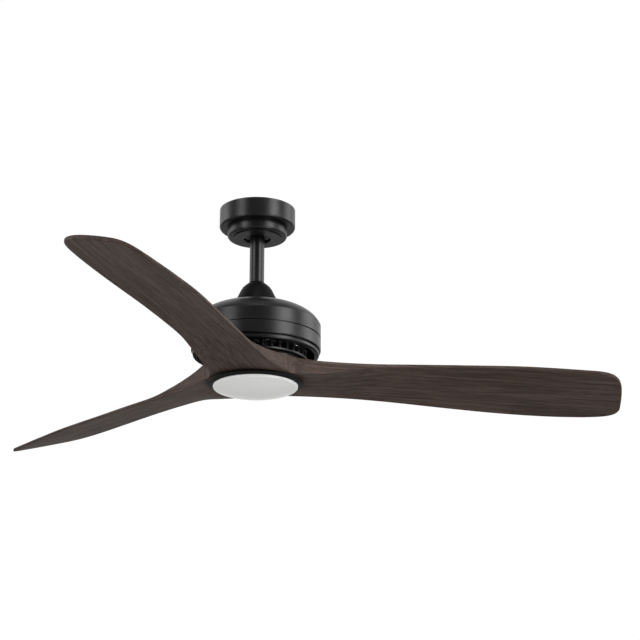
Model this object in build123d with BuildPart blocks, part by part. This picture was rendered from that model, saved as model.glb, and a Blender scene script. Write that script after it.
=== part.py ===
from build123d import *
import math
import os

os.makedirs("parts", exist_ok=True)

# Three-blade ceiling fan with an LED light, hung from a ball on a short down-rod.
# Millimetres. +Z is up and the origin is on the ceiling plane, at the middle of the hanger bracket,
# so every height is negative: it is how far a face lies below the ceiling.

# ---------------------------------------------------------------- driving dimensions

# Ceiling fixing and canopy
CANOPY_R = 65.0
CANOPY_FLOOR = -34.0
CANOPY_EDGE = 4.0
RIM_GAP = 0.4
SHEET = 1.2
CANOPY_HOLE_R = 37.0
COVER_R = 51.0
COVER_FLOOR = -50.5
COVER_STEP_R = 41.4
COVER_STEP = 2.0
COVER_HOLE_R = 23.0
COVER_FLANGE_R = 38.5
BRACKET_T = 2.5
PLATE_L = 108.0
PLATE_W = 34.0
PLATE_CORNER = 5.0
SLOT_PITCH = 79.4
SLOT_L = 20.0
SLOT_R = 2.7
LEG_W = 26.0
EAR_W = 30.0
EAR_L = 30.0
TAB_W = 16.0
CANOPY_SCREW_X = 43.0

# Hanger ball and down-rod
BALL_R = 28.0
BALL_Z = -26.0
BALL_TOP = 15.0
BALL_BOTTOM = 22.0
SEAT_FROM = 20.0
SEAT_TO = 40.0
TONGUE_W = 4.2
GROOVE_DEPTH = 4.5
GROOVE_SPAN = 120.0
ROD_R = 12.5
ROD_WALL = 2.0
ROD_TOP = -8.0
PIN_R = 3.0
PIN_CHAMFER = 0.8
BALL_PIN_Z = -18.0

# Coupling between the rod and the motor
BELL_TOP = -132.5
BELL_R = 37.0
BELL_WALL = 1.5
COUPLING_TOP = -148.0
COUPLING_R = 18.0
COUPLING_FLANGE_R = 28.0
COUPLING_FLANGE_T = 4.0
FLANGE_PITCH_R = 24.0
ROD_END = -172.0
CLEVIS_Z = -158.0
COUPLING_SCREW_Z = -152.5

# Motor housing
HOUSING_R = 109.1
HOUSING_TOP = -175.2
CROWN_FLAT_R = 28.6
CROWN_DROP = 43.0
CROWN_OVERHANG = 1.0
WALL = 1.5
CREASE_R = 108.0
CREASE_STEP = 1.2
UPPER_BAND_END = -232.4
GROOVE = 2.2
BAND_EDGE = 1.4
LOWER_BAND_END = -256.0
LOWER_EDGE = 2.5
LIP_R = 106.3
LIP_GAP = 1.6
LIP_H = 5.8
LIP_BORE_R = 99.0

# Motor
SHAFT_R = 8.5
SHAFT_BORE_R = 6.0
SHAFT_END = -319.0
BEARING_R = 17.5
BEARING_H = 10.0
UPPER_BEARING_Z = -212.0
LOWER_BEARING_Z = -268.0
BALL_COUNT = 9
STATOR_R = 71.0
STATOR_Z = -243.0
STATOR_H = 20.0
SLOTS = 12
AIR_GAP = 1.0
MAGNET_T = 4.0
MAGNETS = 28
YOKE_T = 4.0
CAN_WALL = 4.0
CAN_TOP = -209.0
CAN_JOINT = -254.0
CAN_FLANGE_R = 86.0
BASE_R = 76.0
VENTS = 36
VENT_W = 6.6
RIB_T = 5.0
CAN_SLOT_PITCH_R = 52.0
CAN_SLOT_L = 24.0
CAN_SLOT_W = 5.0
CAN_SCREWS = 9
MAGNET_GAP = 1.0
BOARD_R = 66.0
BOARD_Z = -194.0

# Blade plate, blades
PLATE_R = 88.0
PLATE_TOP = -271.4
PLATE_T = 3.6
PLATE_SCREW_PITCH_R = 58.0
GASKET_R = 80.0
GASKET_T = 4.0
HUB_BORE_R = 26.0
HUB_T = 30.0
JUNCTION_R = 84.0
TIP_R = 660.0
NECK_S = 110.0
BLADES = 3
FIRST_BLADE = 12.2
JOINT_GAP = 0.15
LEADING_CORNER_R = 66.0
TRAILING_CORNER_R = 31.0
BLADE_CROWN = 2.5

# Light
LIGHT_GAP = 2.0
RING_R = 81.2
RING_EDGE = 2.2
RING_DROP = 4.6
RING_MOUTH_R = 71.4
PAN_T = 1.2
LENS_R = 71.1
LENS_SIDE = 5.9
LENS_CORNER = 1.5
LENS_BOTTOM = -332.0
LENS_T = 2.2
LENS_EDGE = 4.0
CATCHES = 3
CATCH_SPAN = 22.0
LUG_SPAN = 14.0
LED_BOARD_R = 52.0
LED_BORE_R = 15.0
LED_ROWS = ((24.0, 9), (35.0, 14), (46.0, 20))
LED_L, LED_W, LED_H = 2.8, 3.5, 0.8

# Fasteners
SCREW_R = 2.0
HEAD_R = 3.6
HEAD_H = 2.4
SMALL_SCREW_R = 1.5
SMALL_HEAD_R = 2.8
SMALL_HEAD_H = 1.8
SET_SCREW_R = 2.5
HEX_R = 1.4
HEX_DEPTH = 3.0
CROSS_L = 1.2
CROSS_W = 0.28
HEAD_ROUNDING = 0.4

# Clearances
FIT = 0.05
RUN = 0.4
EPS = 1.0

# ---------------------------------------------------------------- shared operations


def disc(z, height, radius, bore=0.0, mode=Mode.ADD):
    """A round plate or a tube standing on the plane z, or a round hole when it is subtracted."""
    with BuildSketch(Plane.XY.offset(z)) as outline:
        Circle(radius)
        if bore:
            Circle(bore, mode=Mode.SUBTRACT)
    extrude(outline.sketch, amount=height, mode=mode)


def discs(z, height, radius, spots, mode=Mode.ADD):
    """The same round plate at several (x, y) places."""
    with BuildSketch(Plane.XY.offset(z)) as outline:
        with Locations(*spots):
            Circle(radius)
    extrude(outline.sketch, amount=height, mode=mode)


def turned(points, mode=Mode.ADD):
    """A closed profile of (radius, height) points, turned about the fan's axis."""
    with BuildSketch(Plane.XZ) as profile:
        with BuildLine():
            Polyline(*points, close=True)
        make_face()
    revolve(profile.sketch, axis=Axis.Z, mode=mode)


def cross_hole(z, radius, reach, mode=Mode.SUBTRACT):
    """A round bar along X through the fan's axis at height z."""
    with BuildSketch(Plane.YZ) as outline:
        with Locations((0, z)):
            Circle(radius)
    extrude(outline.sketch, amount=reach, both=True, mode=mode)


def ring_spots(radius, count, start=0.0):
    """Points spaced evenly on a circle about the axis."""
    step = 2 * math.pi / count
    first = math.radians(start)
    return [(radius * math.cos(first + i * step), radius * math.sin(first + i * step)) for i in range(count)]


def screws(spots, seat, head_r, head_h, shank_r, tip):
    """Pan-head screws whose heads hang below the plane seat and whose shanks rise to tip."""
    discs(seat - head_h, head_h, head_r, spots)
    fillet(edges().group_by(Axis.Z)[0], radius=head_h * HEAD_ROUNDING)
    discs(seat, tip - seat, shank_r, spots)
    with BuildSketch(Plane.XY.offset(seat - head_h)) as drive:
        with Locations(*spots):
            Rectangle(head_r * CROSS_L, head_r * CROSS_W)
            Rectangle(head_r * CROSS_W, head_r * CROSS_L)
    extrude(drive.sketch, amount=head_h / 2, mode=Mode.SUBTRACT)


def keep(piece, name):
    """Label a finished piece and write it."""
    piece.part.label = name
    export_step(piece.part, f"parts/{name}.step")


# ---------------------------------------------------------------- ceiling bracket

LEG_X = BALL_R + EPS + BRACKET_T / 2
SEAT_R = BALL_R + FIT
SEAT_OUT_R = SEAT_R + BRACKET_T
SEAT_FLANGE_TOP = BALL_Z - SEAT_R * math.sin(math.radians(SEAT_FROM)) - EPS
SEAT_FLANGE_R = LEG_X + BRACKET_T
SEAT_BORE_R = math.sqrt(SEAT_R**2 - (BALL_Z - SEAT_FLANGE_TOP) ** 2) + RUN
TAB_TOP = CANOPY_FLOOR + SHEET + BRACKET_T
TAB_END = CANOPY_SCREW_X + 7.0
CANOPY_SCREW_SPOTS = [(-CANOPY_SCREW_X, 0), (CANOPY_SCREW_X, 0)]
SEAT_SLOT_W = 2 * (ROD_R + RUN)
EARTH_SPOT = (LEG_X - BRACKET_T / 2 - HEAD_R - 3.4, -9.0)

with BuildPart() as hanger_bracket:
    with BuildSketch(Plane.XY.offset(-BRACKET_T)):
        RectangleRounded(PLATE_L, PLATE_W, PLATE_CORNER)
        with Locations((0, -(PLATE_W + EAR_L) / 2 + EPS)):
            Rectangle(EAR_W, EAR_L)
    extrude(amount=BRACKET_T)
    with BuildSketch(Plane.XY.offset(-BRACKET_T)):
        with Locations((-SLOT_PITCH / 2, 0), (SLOT_PITCH / 2, 0)):
            SlotOverall(SLOT_L, 2 * SLOT_R)
        with Locations(EARTH_SPOT):
            Circle(SCREW_R + FIT)
    extrude(amount=BRACKET_T, mode=Mode.SUBTRACT)
    with BuildSketch(Plane.XY.offset(SEAT_FLANGE_TOP - BRACKET_T)):
        with Locations((-LEG_X, 0), (LEG_X, 0)):
            Rectangle(BRACKET_T, LEG_W)
    extrude(amount=-SEAT_FLANGE_TOP)
    for side in (-1, 1):
        with BuildSketch(Plane.XY.offset(TAB_TOP - BRACKET_T)):
            with Locations((side * (LEG_X + TAB_END) / 2, 0)):
                Rectangle(TAB_END - LEG_X, TAB_W)
        extrude(amount=BRACKET_T)
    discs(TAB_TOP - BRACKET_T, BRACKET_T, SCREW_R + FIT, CANOPY_SCREW_SPOTS, Mode.SUBTRACT)
    disc(SEAT_FLANGE_TOP - BRACKET_T, BRACKET_T, SEAT_FLANGE_R, SEAT_BORE_R)
    with BuildSketch(Plane.XZ):
        with BuildLine():
            inside = CenterArc((0, BALL_Z), SEAT_R, -SEAT_TO, SEAT_TO - SEAT_FROM)
            outside = CenterArc((0, BALL_Z), SEAT_OUT_R, -SEAT_TO, SEAT_TO - SEAT_FROM)
            Line(inside @ 0, outside @ 0)
            Line(inside @ 1, outside @ 1)
        make_face()
    revolve(axis=Axis.Z)
    with BuildSketch(Plane.XY.offset(BALL_Z - BALL_R)):
        with Locations((0, SEAT_FLANGE_R)):
            Rectangle(SEAT_SLOT_W, 2 * SEAT_FLANGE_R)
    extrude(amount=BALL_R - SEAT_R * math.sin(math.radians(SEAT_FROM)) + EPS, mode=Mode.SUBTRACT)
    with BuildSketch(Plane.YZ):
        with BuildLine():
            tip = CenterArc((0, BALL_Z), BALL_R - GROOVE_DEPTH + EPS, 180 + SEAT_FROM, SEAT_TO - SEAT_FROM)
            root = CenterArc((0, BALL_Z), SEAT_R + EPS, 180 + SEAT_FROM, SEAT_TO - SEAT_FROM)
            Line(tip @ 0, root @ 0)
            Line(tip @ 1, root @ 1)
        make_face()
    extrude(amount=TONGUE_W / 2, both=True)
keep(hanger_bracket, "hanger_bracket")

with BuildPart() as earth_screw:
    screws([EARTH_SPOT], -BRACKET_T, HEAD_R, HEAD_H, SCREW_R, -RUN)
keep(earth_screw, "earth_screw")

# Terminal block under the bracket's ear
BLOCK_L, BLOCK_W, BLOCK_H = 27.0, 13.0, 13.0
BLOCK_Y = -(PLATE_W / 2 + EAR_L) + BLOCK_W / 2 + 2.0
POLE_PITCH = 8.4
POLE_R = 1.7
POLE_OFFSET = 3.4
POLE_DEPTH = 6.0
WIRE_HOLE_R = 1.5
BLOCK_CORNER = 1.5
POLES = [(i * POLE_PITCH, BLOCK_Y + j * POLE_OFFSET) for i in (-1, 0, 1) for j in (-1, 1)]
WIRE_HOLES = [(i * POLE_PITCH, -BRACKET_T - BLOCK_H / 2 + WIRE_HOLE_R) for i in (-1, 0, 1)]

with BuildPart() as terminal_block:
    with BuildSketch(Plane.XY.offset(-BRACKET_T - BLOCK_H)):
        with Locations((0, BLOCK_Y)):
            Rectangle(BLOCK_L, BLOCK_W)
    extrude(amount=BLOCK_H)
    fillet(terminal_block.edges().filter_by(Axis.Z), radius=BLOCK_CORNER)
    discs(-BRACKET_T - BLOCK_H, POLE_DEPTH, POLE_R + FIT, POLES, Mode.SUBTRACT)
    with BuildSketch(Plane.XZ.offset(-(BLOCK_Y - BLOCK_W))):
        with Locations(*WIRE_HOLES):
            Circle(WIRE_HOLE_R)
    extrude(amount=-2 * BLOCK_W, mode=Mode.SUBTRACT)
keep(terminal_block, "terminal_block")

POLE_SCREW_H = 3.4
POLE_SLOT_W = 0.6
POLE_SLOT_DEPTH = 0.8

with BuildPart() as terminal_screws:
    discs(-BRACKET_T - BLOCK_H + EPS, POLE_SCREW_H, POLE_R, POLES)
    with BuildSketch(Plane.XY.offset(-BRACKET_T - BLOCK_H + EPS)):
        with Locations(*POLES):
            Rectangle(2 * POLE_R, POLE_SLOT_W)
    extrude(amount=POLE_SLOT_DEPTH, mode=Mode.SUBTRACT)
keep(terminal_screws, "terminal_screws")

# ---------------------------------------------------------------- canopy and its screw cover

with BuildPart() as canopy:
    with BuildSketch(Plane.XZ):
        with BuildLine():
            Polyline(
                (CANOPY_R, -RIM_GAP),
                (CANOPY_R, CANOPY_FLOOR),
                (CANOPY_HOLE_R, CANOPY_FLOOR),
                (CANOPY_HOLE_R, CANOPY_FLOOR + SHEET),
                (CANOPY_R - SHEET, CANOPY_FLOOR + SHEET),
                (CANOPY_R - SHEET, -RIM_GAP),
                close=True,
            )
        make_face()
        fillet(vertices().group_by(Axis.Y)[0].sort_by(Axis.X)[-1], radius=CANOPY_EDGE)
        fillet(vertices().filter_by_position(Axis.Y, CANOPY_FLOOR + SHEET / 2, CANOPY_FLOOR + 2 * SHEET)
               .sort_by(Axis.X)[-1], radius=CANOPY_EDGE - SHEET)
    revolve(axis=Axis.Z)
    discs(CANOPY_FLOOR, SHEET, SCREW_R + RUN, CANOPY_SCREW_SPOTS, Mode.SUBTRACT)
keep(canopy, "canopy")

COVER_TOP = CANOPY_FLOOR
KEYHOLE_TURN = 14.0

with BuildPart() as canopy_cover:
    with BuildSketch(Plane.XZ) as cover_profile:
        with BuildLine():
            Polyline(
                (COVER_R, COVER_TOP),
                (COVER_R, COVER_FLOOR),
                (COVER_STEP_R, COVER_FLOOR),
                (COVER_STEP_R, COVER_FLOOR - COVER_STEP),
                (COVER_HOLE_R, COVER_FLOOR - COVER_STEP),
                (COVER_HOLE_R, COVER_FLOOR - COVER_STEP + SHEET),
                (COVER_STEP_R - SHEET, COVER_FLOOR - COVER_STEP + SHEET),
                (COVER_STEP_R - SHEET, COVER_FLOOR + SHEET),
                (COVER_R - SHEET, COVER_FLOOR + SHEET),
                (COVER_R - SHEET, COVER_TOP - SHEET),
                (COVER_FLANGE_R, COVER_TOP - SHEET),
                (COVER_FLANGE_R, COVER_TOP),
                close=True,
            )
        make_face()
        outer = vertices().filter_by_position(Axis.X, COVER_R - 0.1, COVER_R + 0.1)
        inner = vertices().filter_by_position(Axis.X, COVER_R - SHEET - 0.1, COVER_R - SHEET + 0.1)
        fillet(outer.sort_by(Axis.Y)[0], radius=CANOPY_EDGE)
        fillet(inner.sort_by(Axis.Y)[0], radius=CANOPY_EDGE - SHEET)
        fillet(outer.sort_by(Axis.Y)[-1], radius=SHEET * 0.8)
    revolve(axis=Axis.Z)
    with BuildSketch(Plane.XY.offset(COVER_TOP - SHEET)):
        for turn in (0.0, 180.0):
            SlotArc(CenterArc((0, 0), CANOPY_SCREW_X, turn, KEYHOLE_TURN), height=2 * (SCREW_R + RUN))
        with Locations(*ring_spots(CANOPY_SCREW_X, 2, KEYHOLE_TURN)):
            Circle(HEAD_R + RUN)
    extrude(amount=SHEET, mode=Mode.SUBTRACT)
keep(canopy_cover, "canopy_cover")

with BuildPart() as canopy_screws:
    screws(CANOPY_SCREW_SPOTS, COVER_TOP - SHEET, HEAD_R, HEAD_H, SCREW_R, TAB_TOP + EPS)
keep(canopy_screws, "canopy_screws")

# ---------------------------------------------------------------- hanger ball, rod and pins

BALL_PIN_REACH = math.sqrt(BALL_R**2 - (BALL_PIN_Z - BALL_Z) ** 2) - 2 * EPS
BALL_SCREW_Z = BALL_Z - 7.0

with BuildPart() as hanger_ball:
    with Locations((0, 0, BALL_Z)):
        Sphere(BALL_R)
    split(bisect_by=Plane.XY.offset(BALL_Z + BALL_TOP), keep=Keep.BOTTOM)
    split(bisect_by=Plane.XY.offset(BALL_Z - BALL_BOTTOM), keep=Keep.TOP)
    disc(BALL_Z - BALL_R, 2 * BALL_R, ROD_R + FIT, mode=Mode.SUBTRACT)
    cross_hole(BALL_PIN_Z, PIN_R + FIT, BALL_R)
    with BuildSketch(Plane.YZ):
        with BuildLine():
            groove_start = 180 - GROOVE_SPAN / 2
            floor_arc = CenterArc((0, BALL_Z), BALL_R - GROOVE_DEPTH, groove_start, GROOVE_SPAN)
            mouth_arc = CenterArc((0, BALL_Z), BALL_R + 2 * EPS, groove_start, GROOVE_SPAN)
            Line(floor_arc @ 0, mouth_arc @ 0)
            Line(floor_arc @ 1, mouth_arc @ 1)
        make_face()
    extrude(amount=TONGUE_W / 2 + RUN, both=True, mode=Mode.SUBTRACT)
    with BuildSketch(Plane.XZ):
        with Locations((0, BALL_SCREW_Z)):
            Circle(SET_SCREW_R + FIT)
    extrude(amount=-BALL_R, mode=Mode.SUBTRACT)
keep(hanger_ball, "hanger_ball")

with BuildPart() as ball_cross_pin:
    cross_hole(BALL_PIN_Z, PIN_R, BALL_PIN_REACH, Mode.ADD)
    chamfer(edges().filter_by(GeomType.CIRCLE), length=PIN_CHAMFER)
keep(ball_cross_pin, "ball_cross_pin")

with BuildPart() as ball_set_screw:
    with BuildSketch(Plane.XZ.offset(-ROD_R)):
        with Locations((0, BALL_SCREW_Z)):
            Circle(SET_SCREW_R)
    extrude(amount=-(BALL_R - ROD_R - 4 * EPS))
    with BuildSketch(Plane.XZ.offset(-(BALL_R - 4 * EPS))):
        with Locations((0, BALL_SCREW_Z)):
            RegularPolygon(HEX_R, 6)
    extrude(amount=HEX_DEPTH, mode=Mode.SUBTRACT)
keep(ball_set_screw, "ball_set_screw")

with BuildPart() as downrod:
    disc(ROD_END, ROD_TOP - ROD_END, ROD_R, ROD_R - ROD_WALL)
    cross_hole(BALL_PIN_Z, PIN_R + FIT, 2 * ROD_R)
    cross_hole(CLEVIS_Z, PIN_R + FIT, 2 * ROD_R)
keep(downrod, "downrod")

# ---------------------------------------------------------------- coupling on the motor's shaft

CLEVIS_TIP = COUPLING_R + 7.0
CLEVIS_HEAD_T = 2.2
CLEVIS_HEAD_R = PIN_R + 1.6
HAIRPIN_X = COUPLING_R + 3.5
HAIRPIN_R = 0.8
HAIRPIN_BACK = 7.0
HAIRPIN_BEND = 6.0
HAIRPIN_W = 5.2
FLANGE_BOTTOM = HOUSING_TOP - WALL - COUPLING_FLANGE_T
HOUSING_SCREW_SPOTS = ring_spots(FLANGE_PITCH_R, 4, 45)
STANDOFF_SPOTS = ring_spots(FLANGE_PITCH_R, 4)
SET_SCREW_PROUD = 3.0

with BuildPart() as motor_coupling:
    turned([
        (ROD_R + FIT, COUPLING_TOP),
        (COUPLING_R, COUPLING_TOP),
        (COUPLING_R, HOUSING_TOP - WALL),
        (COUPLING_FLANGE_R, HOUSING_TOP - WALL),
        (COUPLING_FLANGE_R, FLANGE_BOTTOM),
        (SHAFT_R + FIT, FLANGE_BOTTOM),
        (SHAFT_R + FIT, ROD_END),
        (ROD_R + FIT, ROD_END),
    ])
    cross_hole(CLEVIS_Z, PIN_R + FIT, 2 * COUPLING_R)
    with BuildSketch(Plane.XZ):
        with Locations((0, COUPLING_SCREW_Z)):
            Circle(SET_SCREW_R + FIT)
    extrude(amount=2 * COUPLING_R, both=True, mode=Mode.SUBTRACT)
    for spots in (HOUSING_SCREW_SPOTS, STANDOFF_SPOTS):
        discs(FLANGE_BOTTOM, COUPLING_FLANGE_T, SCREW_R + FIT, spots, Mode.SUBTRACT)
keep(motor_coupling, "motor_coupling")

with BuildPart() as clevis_pin:
    with BuildSketch(Plane.YZ.offset(-COUPLING_R)):
        with Locations((0, CLEVIS_Z)):
            Circle(PIN_R)
    extrude(amount=COUPLING_R + CLEVIS_TIP)
    with BuildSketch(Plane.YZ.offset(-COUPLING_R - CLEVIS_HEAD_T)):
        with Locations((0, CLEVIS_Z)):
            Circle(CLEVIS_HEAD_R)
    extrude(amount=CLEVIS_HEAD_T)
    chamfer(edges().filter_by(GeomType.CIRCLE).sort_by(Axis.X)[-1], length=PIN_CHAMFER)
    with BuildSketch(Plane.XY.offset(CLEVIS_Z)):
        with Locations((HAIRPIN_X, 0)):
            Circle(HAIRPIN_R + FIT)
    extrude(amount=2 * PIN_R, both=True, mode=Mode.SUBTRACT)
keep(clevis_pin, "clevis_pin")

with BuildPart() as hairpin_clip:
    hairpin_plane = Plane(origin=(HAIRPIN_X, 0, CLEVIS_Z), x_dir=(0, 1, 0), z_dir=(1, 0, 0))
    with BuildLine(hairpin_plane) as wire:
        straight = Line((0, -HAIRPIN_BACK), (0, HAIRPIN_BEND))
        bend_top = (HAIRPIN_W / 2, HAIRPIN_BEND + HAIRPIN_W / 2)
        bend = ThreePointArc(straight @ 1, bend_top, (HAIRPIN_W, HAIRPIN_BEND))
        pinch = (PIN_R + HAIRPIN_R + 2 * FIT, 0)
        Spline(bend @ 1, pinch, (HAIRPIN_W, -HAIRPIN_BEND), tangents=((0, -1), (0.5, -1)))
    with BuildSketch(Plane(origin=wire.line @ 0, z_dir=wire.line % 0)):
        Circle(HAIRPIN_R)
    sweep()
keep(hairpin_clip, "hairpin_clip")

with BuildPart() as coupling_set_screws:
    for side in (-1, 1):
        with BuildSketch(Plane.XZ.offset(-side * ROD_R)):
            with Locations((0, COUPLING_SCREW_Z)):
                Circle(SET_SCREW_R)
        extrude(amount=-side * (COUPLING_R - ROD_R + SET_SCREW_PROUD))
        with BuildSketch(Plane.XZ.offset(-side * (COUPLING_R + SET_SCREW_PROUD))):
            with Locations((0, COUPLING_SCREW_Z)):
                RegularPolygon(HEX_R, 6)
        extrude(amount=side * HEX_DEPTH, mode=Mode.SUBTRACT)
keep(coupling_set_screws, "coupling_set_screws")

# Bell-shaped cover that hides the coupling: it slides on the rod
BELL_MOUTH_R = ROD_R + RUN
BELL_H = BELL_TOP - HOUSING_TOP
BELL_SLOPE = (0.85, 0.55)
BELL_LIP = 0.75
BELL_SHAPE = [((ROD_R + BELL_LIP) / BELL_R, 1.0), (0.475, 0.91), (0.63, 0.785),
              (0.795, 0.535), (0.91, 0.31), (1.0, 0.0)]


def bell_line(shrink):
    """The bell's side from its mouth round the rod to its rim, moved inwards by shrink."""
    points = [(r * BELL_R, HOUSING_TOP + h * BELL_H) for r, h in BELL_SHAPE]
    inwards, down = BELL_SLOPE
    return [(r - shrink * inwards, max(HOUSING_TOP, z - shrink * down)) for r, z in points]


with BuildPart() as coupling_cover:
    with BuildSketch(Plane.XZ):
        with BuildLine():
            side = Spline(*bell_line(0.0))
            Polyline(side @ 1, (0, HOUSING_TOP), (0, BELL_TOP), side @ 0)
        make_face()
    revolve(axis=Axis.Z)
    with BuildSketch(Plane.XZ):
        with BuildLine():
            lining = Spline(*bell_line(BELL_WALL))
            Polyline(lining @ 1, (0, HOUSING_TOP), (0, (lining @ 0).Y), lining @ 0)
        make_face()
    revolve(axis=Axis.Z, mode=Mode.SUBTRACT)
    disc(BELL_TOP - 2 * BELL_WALL, 4 * BELL_WALL, BELL_MOUTH_R, mode=Mode.SUBTRACT)
keep(coupling_cover, "coupling_cover")

# ---------------------------------------------------------------- shaft, leads

with BuildPart() as motor_shaft:
    disc(SHAFT_END, ROD_END - EPS - SHAFT_END, SHAFT_R, SHAFT_BORE_R)
    chamfer(edges().group_by(Axis.Z)[0].sort_by(SortBy.RADIUS)[-1], length=PIN_CHAMFER)
keep(motor_shaft, "motor_shaft")

LEAD_R = 1.3
LEAD_X = 1.6
LEAD_ROD_Y = PIN_R + LEAD_R + 2 * EPS
LEAD_SHAFT_Y = 3.0
LEAD_BEND_TOP = CLEVIS_Z - 5.0
LEAD_BEND_END = ROD_END - 8.0

with BuildPart() as motor_leads:
    for across in (-LEAD_X, LEAD_X):
        for side in (-1, 1):
            rod_y, shaft_y = side * LEAD_ROD_Y, side * LEAD_SHAFT_Y
            with BuildLine() as route:
                upper = Line((across, rod_y, ROD_TOP - EPS), (across, rod_y, LEAD_BEND_TOP))
                lower = Line((across, shaft_y, LEAD_BEND_END), (across, shaft_y, SHAFT_END + EPS))
                Spline(upper @ 1, lower @ 0, tangents=((0, 0, -1), (0, 0, -1)))
            with BuildSketch(Plane(origin=upper @ 0, z_dir=(0, 0, -1))):
                Circle(LEAD_R)
            sweep(path=route.wire())
keep(motor_leads, "motor_leads")

# ---------------------------------------------------------------- motor housing

CROWN_SPAN = HOUSING_R + CROWN_OVERHANG - CROWN_FLAT_R
CROWN_CENTRE = HOUSING_TOP - CROWN_DROP


def crown_angle(radius, shrink):
    """Where the crown's quarter ellipse reaches a radius, in degrees."""
    return math.degrees(math.acos((radius - CROWN_FLAT_R) / (CROWN_SPAN - shrink)))


BAND_TOP = CROWN_CENTRE + CROWN_DROP * math.sin(math.radians(crown_angle(CREASE_R, 0.0))) - CREASE_STEP
BAND_IN_R = HOUSING_R - WALL

with BuildPart() as housing_top:
    with BuildSketch(Plane.XZ):
        with BuildLine():
            crown_start = crown_angle(CREASE_R, 0.0)
            crown = EllipticalCenterArc((CROWN_FLAT_R, CROWN_CENTRE), CROWN_SPAN, CROWN_DROP,
                                        start_angle=crown_start, arc_size=90 - crown_start)
            Polyline(crown @ 1, (0, HOUSING_TOP), (0, UPPER_BAND_END), (HOUSING_R, UPPER_BAND_END),
                     (HOUSING_R, BAND_TOP), (CREASE_R, BAND_TOP), crown @ 0)
        make_face()
        rim = vertices().filter_by_position(Axis.X, HOUSING_R - 0.1, HOUSING_R + 0.1)
        fillet(rim.sort_by(Axis.Y)[-1], radius=0.5 * (HOUSING_R - CREASE_R))
        fillet(rim.sort_by(Axis.Y)[0], radius=BAND_EDGE)
    revolve(axis=Axis.Z)
    with BuildSketch(Plane.XZ):
        with BuildLine():
            lining_angle = crown_angle(BAND_IN_R - WALL, WALL)
            lining = EllipticalCenterArc((CROWN_FLAT_R, CROWN_CENTRE), CROWN_SPAN - WALL, CROWN_DROP - WALL,
                                         start_angle=lining_angle, arc_size=90 - lining_angle)
            Polyline(lining @ 1, (0, HOUSING_TOP - WALL), (0, UPPER_BAND_END), (BAND_IN_R, UPPER_BAND_END),
                     (BAND_IN_R, BAND_TOP - WALL), lining @ 0)
        make_face()
    revolve(axis=Axis.Z, mode=Mode.SUBTRACT)
    disc(HOUSING_TOP - 2 * WALL, 4 * WALL, COUPLING_R + FIT, mode=Mode.SUBTRACT)
    discs(HOUSING_TOP - WALL, WALL, SCREW_R + RUN, HOUSING_SCREW_SPOTS, Mode.SUBTRACT)
keep(housing_top, "housing_top")

LOWER_BAND_TOP = UPPER_BAND_END - GROOVE
NECK_R = BAND_IN_R - FIT
LIP_NECK_R = LIP_R - 1.3
LIP_ROUNDING = 0.5
LIP_TOP = LOWER_BAND_END - LIP_GAP
LIP_BOTTOM = LIP_TOP - LIP_H
NECK_H = 8.0

with BuildPart() as housing_lower:
    with BuildSketch(Plane.XZ):
        with BuildLine():
            Polyline(
                (NECK_R, UPPER_BAND_END + NECK_H),
                (NECK_R, LOWER_BAND_TOP),
                (HOUSING_R, LOWER_BAND_TOP),
                (HOUSING_R, LOWER_BAND_END),
                (LIP_NECK_R + FIT, LOWER_BAND_END),
                (LIP_NECK_R + FIT, LOWER_BAND_END + WALL),
                (BAND_IN_R, LOWER_BAND_END + WALL),
                (BAND_IN_R, LOWER_BAND_TOP - WALL),
                (NECK_R - WALL, LOWER_BAND_TOP - WALL),
                (NECK_R - WALL, UPPER_BAND_END + NECK_H),
                close=True,
            )
        make_face()
        rim = vertices().filter_by_position(Axis.X, HOUSING_R - 0.1, HOUSING_R + 0.1)
        fillet(rim.sort_by(Axis.Y)[0], radius=LOWER_EDGE)
        fillet(rim.sort_by(Axis.Y)[-1], radius=0.5 * BAND_EDGE)
        lining = vertices().filter_by_position(Axis.X, BAND_IN_R - 0.01, BAND_IN_R + 0.01)
        fillet(lining.sort_by(Axis.Y)[0], radius=LOWER_EDGE - WALL)
    revolve(axis=Axis.Z)
keep(housing_lower, "housing_lower")

with BuildPart() as housing_trim_ring:
    with BuildSketch(Plane.XZ):
        with BuildLine():
            Polyline(
                (LIP_NECK_R, LOWER_BAND_END + NECK_H),
                (LIP_NECK_R, LIP_TOP),
                (LIP_R, LIP_TOP),
                (LIP_R, LIP_BOTTOM),
                (LIP_BORE_R, LIP_BOTTOM),
                (LIP_BORE_R, LIP_BOTTOM + WALL),
                (LIP_NECK_R - WALL, LIP_BOTTOM + WALL),
                (LIP_NECK_R - WALL, LOWER_BAND_END + NECK_H),
                close=True,
            )
        make_face()
        rim = vertices().filter_by_position(Axis.X, LIP_R - 0.1, LIP_R + 0.1)
        fillet(rim.sort_by(Axis.Y)[0], radius=LOWER_EDGE)
        fillet(rim.sort_by(Axis.Y)[-1], radius=LIP_ROUNDING)
    revolve(axis=Axis.Z)
keep(housing_trim_ring, "housing_trim_ring")

with BuildPart() as housing_screws:
    discs(HOUSING_TOP, HEAD_H, HEAD_R, HOUSING_SCREW_SPOTS)
    fillet(edges().group_by(Axis.Z)[-1], radius=HEAD_H * HEAD_ROUNDING)
    discs(FLANGE_BOTTOM, WALL + COUPLING_FLANGE_T, SCREW_R, HOUSING_SCREW_SPOTS)
    with BuildSketch(Plane.XY.offset(HOUSING_TOP + HEAD_H)):
        with Locations(*HOUSING_SCREW_SPOTS):
            Rectangle(HEAD_R * CROSS_L, HEAD_R * CROSS_W)
            Rectangle(HEAD_R * CROSS_W, HEAD_R * CROSS_L)
    extrude(amount=-HEAD_H / 2, mode=Mode.SUBTRACT)
keep(housing_screws, "housing_screws")

# ---------------------------------------------------------------- motor driver above the motor

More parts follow.
